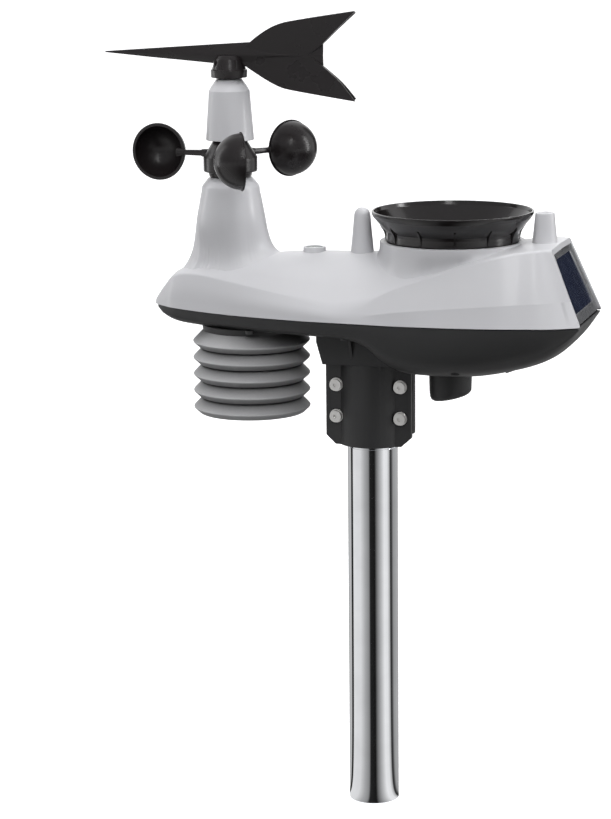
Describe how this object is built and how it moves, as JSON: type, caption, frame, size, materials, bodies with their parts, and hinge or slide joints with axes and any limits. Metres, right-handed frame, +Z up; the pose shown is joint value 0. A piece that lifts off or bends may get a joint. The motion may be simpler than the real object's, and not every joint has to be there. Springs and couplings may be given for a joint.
{
  "type": "tripod weather station",
  "caption": "Outdoor weather sensor head on a round mast: wind vane and cup rotor on a tower, louvred sensor shield, rain funnel, solar panel and split mast clamp.",
  "frame": {"origin": "centre of the mast's bottom end, on the mast's axis", "axes": "+Z up along the mast, +X towards the solar panel end, -Y towards the clamp bolt heads"},
  "size_m": [0.3908, 0.1467, 0.6329],
  "materials": {
    "mast_chrome": "polished chromed tube",
    "clamp_black": "moulded black, slightly textured",
    "stainless": "stainless, lightly worn",
    "silver_plastic": "satin silver-grey moulding",
    "dark_plastic": "fine-grained dark grey moulding",
    "seal_rubber": "black foam cord",
    "rotor_black": "semi-gloss black moulding",
    "funnel_black": "glossy black moulding",
    "shield_grey": "matt mid-grey moulding",
    "inner_plastic": "plain black moulding",
    "board_green": "green solder mask",
    "magnet_metal": "nickel plating",
    "aerial_brass": "plain brass rod",
    "cell_wrap": "plain printed wrap",
    "bezel_grey": "satin grey moulding",
    "solar_blue": "dark blue cell under clear lacquer",
    "sensor_lens": "frosted clear plastic",
    "level_ring": "satin silver-grey moulding",
    "level_liquid": "clear vial with pale liquid"
  },
  "bodies": {
    "mast": {"mast_tube": "mast_chrome"},
    "rotor": {"rotor_hub": "rotor_black", "rotor_bearings": "stainless", "rotor_magnet": "magnet_metal", "wind_cup_1": "rotor_black", "wind_cup_2": "rotor_black", "wind_cup_3": "rotor_black"},
    "vane": {"wind_vane": "rotor_black", "vane_shaft": "stainless", "vane_screw": "stainless", "vane_magnet": "magnet_metal"},
    "funnel": {"rain_funnel": "funnel_black"},
    "tipper": {"tipping_bucket": "inner_plastic", "bucket_magnet": "magnet_metal"},
    "button": {"reset_button": "inner_plastic"},
    "head": {"mast_socket": "clamp_black", "mast_clamp": "clamp_black", "clamp_bolts": "stainless", "clamp_washers": "stainless", "clamp_nuts": "stainless", "case_screws": "stainless", "shield_screws": "stainless", "vane_bearings": "stainless", "tower_spindle": "stainless", "bucket_pivot_pin": "stainless", "battery_door_screws": "stainless", "top_shell": "silver_plastic", "upper_tower_cone": "silver_plastic", "bottom_shell": "dark_plastic", "battery_door": "dark_plastic", "drain_cup": "dark_plastic", "case_seal": "seal_rubber", "shield_plate_1": "shield_grey", "shield_plate_2": "shield_grey", "shield_plate_3": "shield_grey", "shield_plate_4": "shield_grey", "shield_plate_5": "shield_grey", "shield_spacers": "shield_grey", "bucket_bracket": "inner_plastic", "battery_holder": "inner_plastic", "main_circuit_board": "board_green", "vane_sensor_board": "board_green", "rotor_sensor_board": "board_green", "rain_reed_board": "board_green", "humidity_sensor_board": "board_green", "light_sensor_board": "board_green", "battery_contacts": "magnet_metal", "antenna": "aerial_brass", "batteries": "cell_wrap", "solar_bezel": "bezel_grey", "solar_cell": "solar_blue", "light_sensor_lens": "sensor_lens", "status_led": "sensor_lens", "bubble_ring": "level_ring", "bubble_vial": "level_liquid"}
  },
  "joints": [
    {"name": "head_turn", "type": "hinge", "parent": "mast", "child": "head", "pos_m": [0, 0, 0.33], "axis": [0, 0, 1], "continuous": true},
    {"name": "rotor_spin", "type": "hinge", "parent": "head", "child": "rotor", "pos_m": [-0.1152, 0, 0.5223], "axis": [0, 0, 1], "continuous": true},
    {"name": "vane_turn", "type": "hinge", "parent": "head", "child": "vane", "pos_m": [-0.1152, 0, 0.599], "axis": [0, 0, 1], "continuous": true},
    {"name": "funnel_lift", "type": "slide", "parent": "head", "child": "funnel", "axis": [0, 0, 1], "range_m": [0, 0.06]},
    {"name": "bucket_tip", "type": "hinge", "parent": "head", "child": "tipper", "pos_m": [0.0649, 0, 0.406], "axis": [0, -1, 0], "range_deg": [0, 24]},
    {"name": "reset_press", "type": "slide", "parent": "head", "child": "button", "axis": [0, 0, 1], "range_m": [0, 0.0008], "stiffness_N_per_m": 800}
  ]
}
